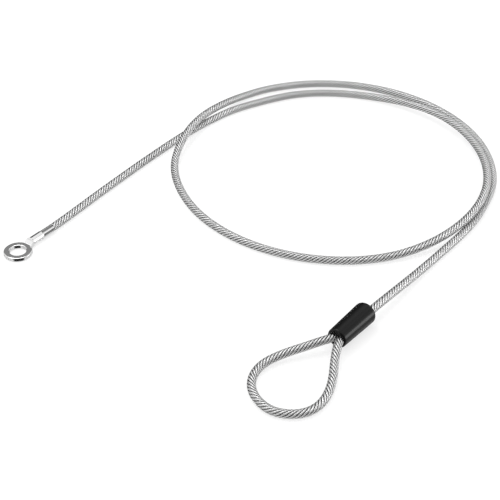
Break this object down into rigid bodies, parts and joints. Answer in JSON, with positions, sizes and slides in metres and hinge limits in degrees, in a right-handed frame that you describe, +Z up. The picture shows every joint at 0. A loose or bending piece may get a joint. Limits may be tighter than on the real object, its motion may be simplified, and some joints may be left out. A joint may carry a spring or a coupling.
{
  "type": "security cable",
  "caption": "Clear-jacketed wire rope with a ring terminal at one end and a swaged eye under a moulded black cover at the other, lying in a loose coil.",
  "frame": {"origin": "on the axis of the ring terminal's bolt hole, at the surface the cable lies on", "axes": "+X along the terminal's barrel towards the cable, +Z up along the bolt hole's axis, and +Y to the left seen from above"},
  "size_m": [0.2647, 0.192, 0.011],
  "materials": {
    "terminal": "bright nickel plating, brushed on the crimped flats",
    "rope": "galvanised wire rope, seen through the jacket",
    "jacket": "clear, glossy",
    "ferrule": "pressed, plain",
    "cover": "satin black moulding"
  },
  "bodies": {
    "root": {"eye_terminal": "terminal", "rope_tail": "rope", "jacket_tail": "jacket", "rope_coil": "rope", "jacket_coil": "jacket", "rope_lead": "rope", "jacket_lead": "jacket", "rope_eye": "rope", "jacket_eye": "jacket", "ferrule": "ferrule", "sleeve_cover": "cover"}
  },
  "joints": []
}
